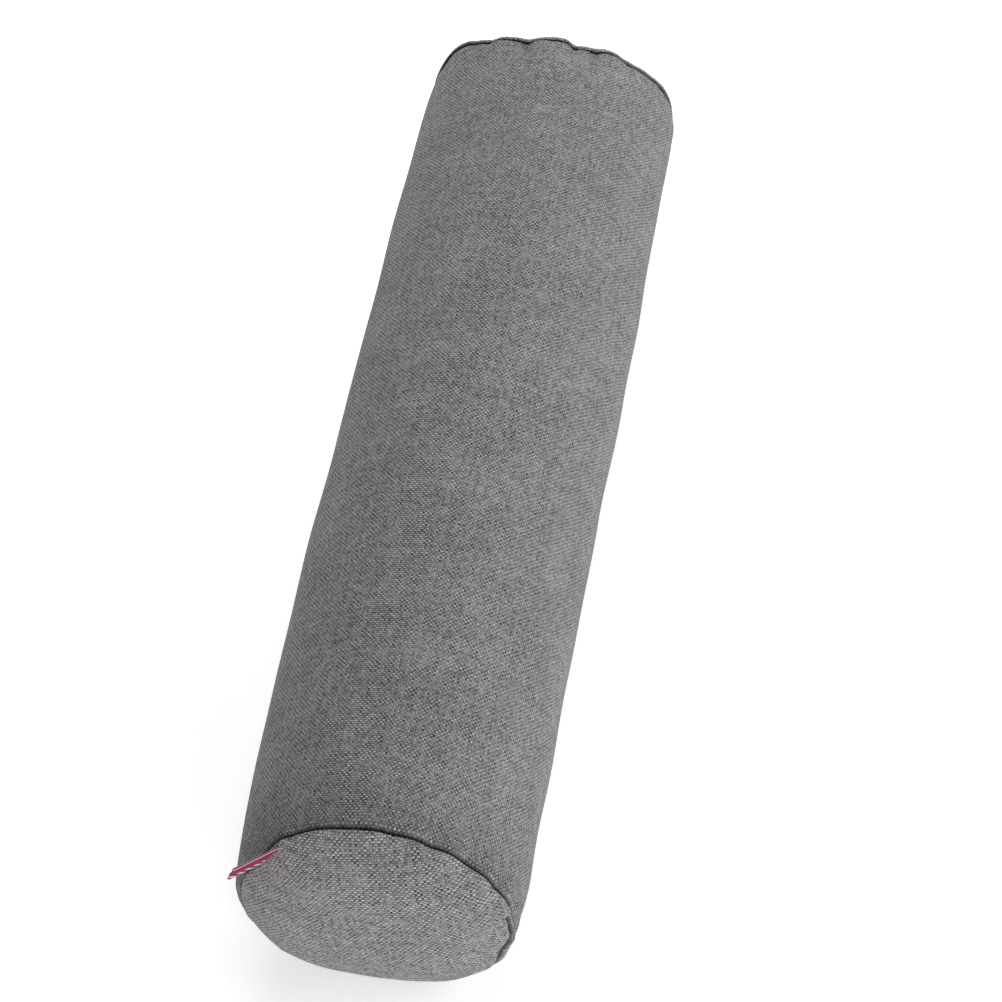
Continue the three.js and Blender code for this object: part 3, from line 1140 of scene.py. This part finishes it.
class BOLSTER_OT_tab(bpy.types.Operator):
    """Make the folded ribbon tab in the front seam"""

    bl_idname = "bolster.tab"
    bl_label = "Ribbon tab"

    def execute(self, context):
        tab = context.scene.bolster_tab
        width, length = tab.width / MM, tab.length / MM
        path = self.fold(length)
        normals, run = right_of(path), lengths_along(path)
        origin, reach, across, along = self.seat()
        points, uvs = [], []
        for side in (1, -1):
            for at in np.linspace(-width / 2, width / 2, RIBBON_STEPS):
                edge = min(1.0, (width / 2 - abs(at)) / (RIBBON_THICKNESS / 2))
                thick = RIBBON_THICKNESS / 2 * math.sqrt(max(1 - (1 - edge) ** 2, RIBBON_THIN))
                ripple = RIBBON_RIPPLE * math.sin(at * RIBBON_WAVE + RIBBON_PHASE)
                for spot, normal in zip(path, normals):
                    x, y = spot + side * thick * normal
                    y += max(x / length, 0) ** 2 * (ripple + RIBBON_TWIST * at / width)
                    points.append(origin + reach * x + across * y + along * at)
                uvs += [(at, distance) for distance in run]
        faces = self.faces(RIBBON_STEPS, len(path))
        corners = [uvs[corner] for face in faces for corner in face]
        mesh = cloth_mesh("ribbon_tab", points, faces, corners)
        piece = finish_piece(mesh, ribbon_cloth("ribbon_weave", tab), ["side_tab"])
        return {"FINISHED"}

    def fold(self, length):
        """The ribbon's middle line in section: out along one leg and back along the other."""
        half, fold = RIBBON_LOOP, RIBBON_FOLD * RIBBON_LOOP
        legs = np.linspace(-TAB_ROOT, length - fold, LEG_STEPS)
        opened = np.clip((legs + TAB_ROOT) / length, 0, 1) ** 1.5
        ease = RIBBON_PINCH + (1 - RIBBON_PINCH) * opened
        lower = np.stack([legs, -half * ease], axis=1)
        turns = np.linspace(-np.pi / 2, np.pi / 2, FOLD_STEPS)[1:-1]
        top = half * ease[-1]
        loop = np.stack([legs[-1] + fold * np.cos(turns), top * np.sin(turns)], axis=1)
        return np.concatenate([lower, loop, lower[::-1] * (1, -1)])

    def faces(self, steps, count):
        """The faces of both sides of the ribbon's grid, and of the rim that joins them."""
        layer = steps * count
        faces = []
        for step in range(steps - 1):
            for k in range(count - 1):
                a = step * count + k
                quad = (a, a + 1, a + count + 1, a + count)
                faces.append(quad)
                faces.append(tuple(layer + corner for corner in reversed(quad)))
        rim = list(range(count))
        rim += [step * count + count - 1 for step in range(1, steps)]
        rim += [(steps - 1) * count + k for k in range(count - 2, -1, -1)]
        rim += [step * count for step in range(steps - 2, 0, -1)]
        for here, there in zip(rim, rim[1:] + rim[:1]):
            faces.append((there, here, layer + here, layer + there))
        return faces

    def seat(self):
        """The tab's root on the seam, and the directions out of it, across its layers and along it."""
        rim = rim_radius("front")
        clock, half_turn = np.radians(TAB_CLOCK), TAB_HALF_ROOT / rim
        ends = [settle(rim, clock + side * half_turn, 0.0) for side in (-1, 1)]
        along = ends[0] - ends[1]
        along /= np.linalg.norm(along)
        ahead = np.array([0.0, -1.0, 0.0])
        out = np.cross(along, ahead)
        tilt, slant = math.radians(TAB_TILT), math.radians(TAB_SLANT)
        reach = ahead * math.cos(tilt) + out * math.sin(tilt)
        across = np.cross(along, reach)
        leaning = reach * math.cos(slant) + along * math.sin(slant)
        along = along * math.cos(slant) - reach * math.sin(slant)
        return (ends[0] + ends[1]) / 2 + out * TAB_SEAT, leaning, across, along


class BOLSTER_OT_stage(bpy.types.Operator):
    """Make the floor, the lights and the camera"""

    bl_idname = "bolster.stage"
    bl_label = "Stage"

    def execute(self, context):
        stage = context.scene.bolster_stage
        self.camera(context, stage)
        self.floor(context, stage)
        self.lights(context)
        context.scene.view_settings.view_transform = "Standard"
        return {"FINISHED"}

    def camera(self, context, stage):
        lens = bpy.data.cameras.new("camera")
        lens.lens = stage.lens
        lens.sensor_width = SENSOR_WIDTH
        camera = bpy.data.objects.new("camera", lens)
        context.scene.collection.objects.link(camera)
        turn = Euler((math.pi / 2 - stage.elevation, 0.0, stage.azimuth))
        camera.rotation_euler = turn
        away = turn.to_matrix() @ Vector((0.0, 0.0, stage.distance))
        camera.location = Vector(CAMERA_AIM) * MM + away
        context.scene.camera = camera

    def floor(self, context, stage):
        mesh = bpy.data.meshes.new("floor")
        corners = [(-1, -1), (1, -1), (1, 1), (-1, 1)]
        points = [(x * FLOOR_HALF, y * FLOOR_HALF, -FLOOR_DROP) for x, y in corners]
        mesh.from_pydata(points, [], [(0, 1, 2, 3)])
        mesh.materials.append(floor_paint("floor_paint", stage.floor_colour))
        floor = bpy.data.objects.new("floor", mesh)
        context.scene.collection.objects.link(floor)

    def lights(self, context):
        world = bpy.data.worlds.new("studio")
        world.use_nodes = True
        board = Board(world.node_tree)
        even = {"Color": (1.0, 1.0, 1.0, 1.0), "Strength": SKY}
        surround = board.node("ShaderNodeBackground", None, even)
        board.node("ShaderNodeOutputWorld", None, {"Surface": surround})
        context.scene.world = world
        for name, place, size, watts in LAMPS:
            light = bpy.data.lights.new(name, "AREA")
            light.size = size
            light.energy = watts
            lamp = bpy.data.objects.new(name, light)
            lamp.location = place
            lamp.rotation_euler = (-Vector(place)).to_track_quat("-Z", "Y").to_euler()
            lamp.visible_camera = False
            context.scene.collection.objects.link(lamp)


class BOLSTER_PT_panel(bpy.types.Panel):
    """Lists the settings and the pieces of the bolster"""

    bl_label = "Bolster"
    bl_space_type = "VIEW_3D"
    bl_region_type = "UI"
    bl_category = "Bolster"

    def draw(self, context):
        for group, made in SETTINGS.items():
            box = self.layout.box()
            for name in made.__annotations__:
                box.prop(getattr(context.scene, group), name)
        for step in STEPS:
            self.layout.operator(step.bl_idname)


SETTINGS = {
    "bolster_form": BolsterForm,
    "bolster_cloth": BolsterCloth,
    "bolster_stitches": BolsterStitches,
    "bolster_tab": BolsterTab,
    "bolster_stage": BolsterStage,
}
STEPS = (
    BOLSTER_OT_stage,
    BOLSTER_OT_tube,
    BOLSTER_OT_panels,
    BOLSTER_OT_stitches,
    BOLSTER_OT_tab,
)


def register():
    for made in (*SETTINGS.values(), *STEPS, BOLSTER_PT_panel):
        bpy.utils.register_class(made)
    for name, made in SETTINGS.items():
        setattr(bpy.types.Scene, name, bpy.props.PointerProperty(type=made))


def unregister():
    for name in SETTINGS:
        delattr(bpy.types.Scene, name)
    for made in (BOLSTER_PT_panel, *STEPS, *SETTINGS.values()):
        bpy.utils.unregister_class(made)


def main():
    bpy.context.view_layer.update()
    register()
    bpy.ops.bolster.stage()
    bpy.ops.bolster.tube()
    bpy.ops.bolster.panels()
    bpy.ops.bolster.stitches()
    bpy.ops.bolster.tab()


if __name__ == "__main__":
    main()
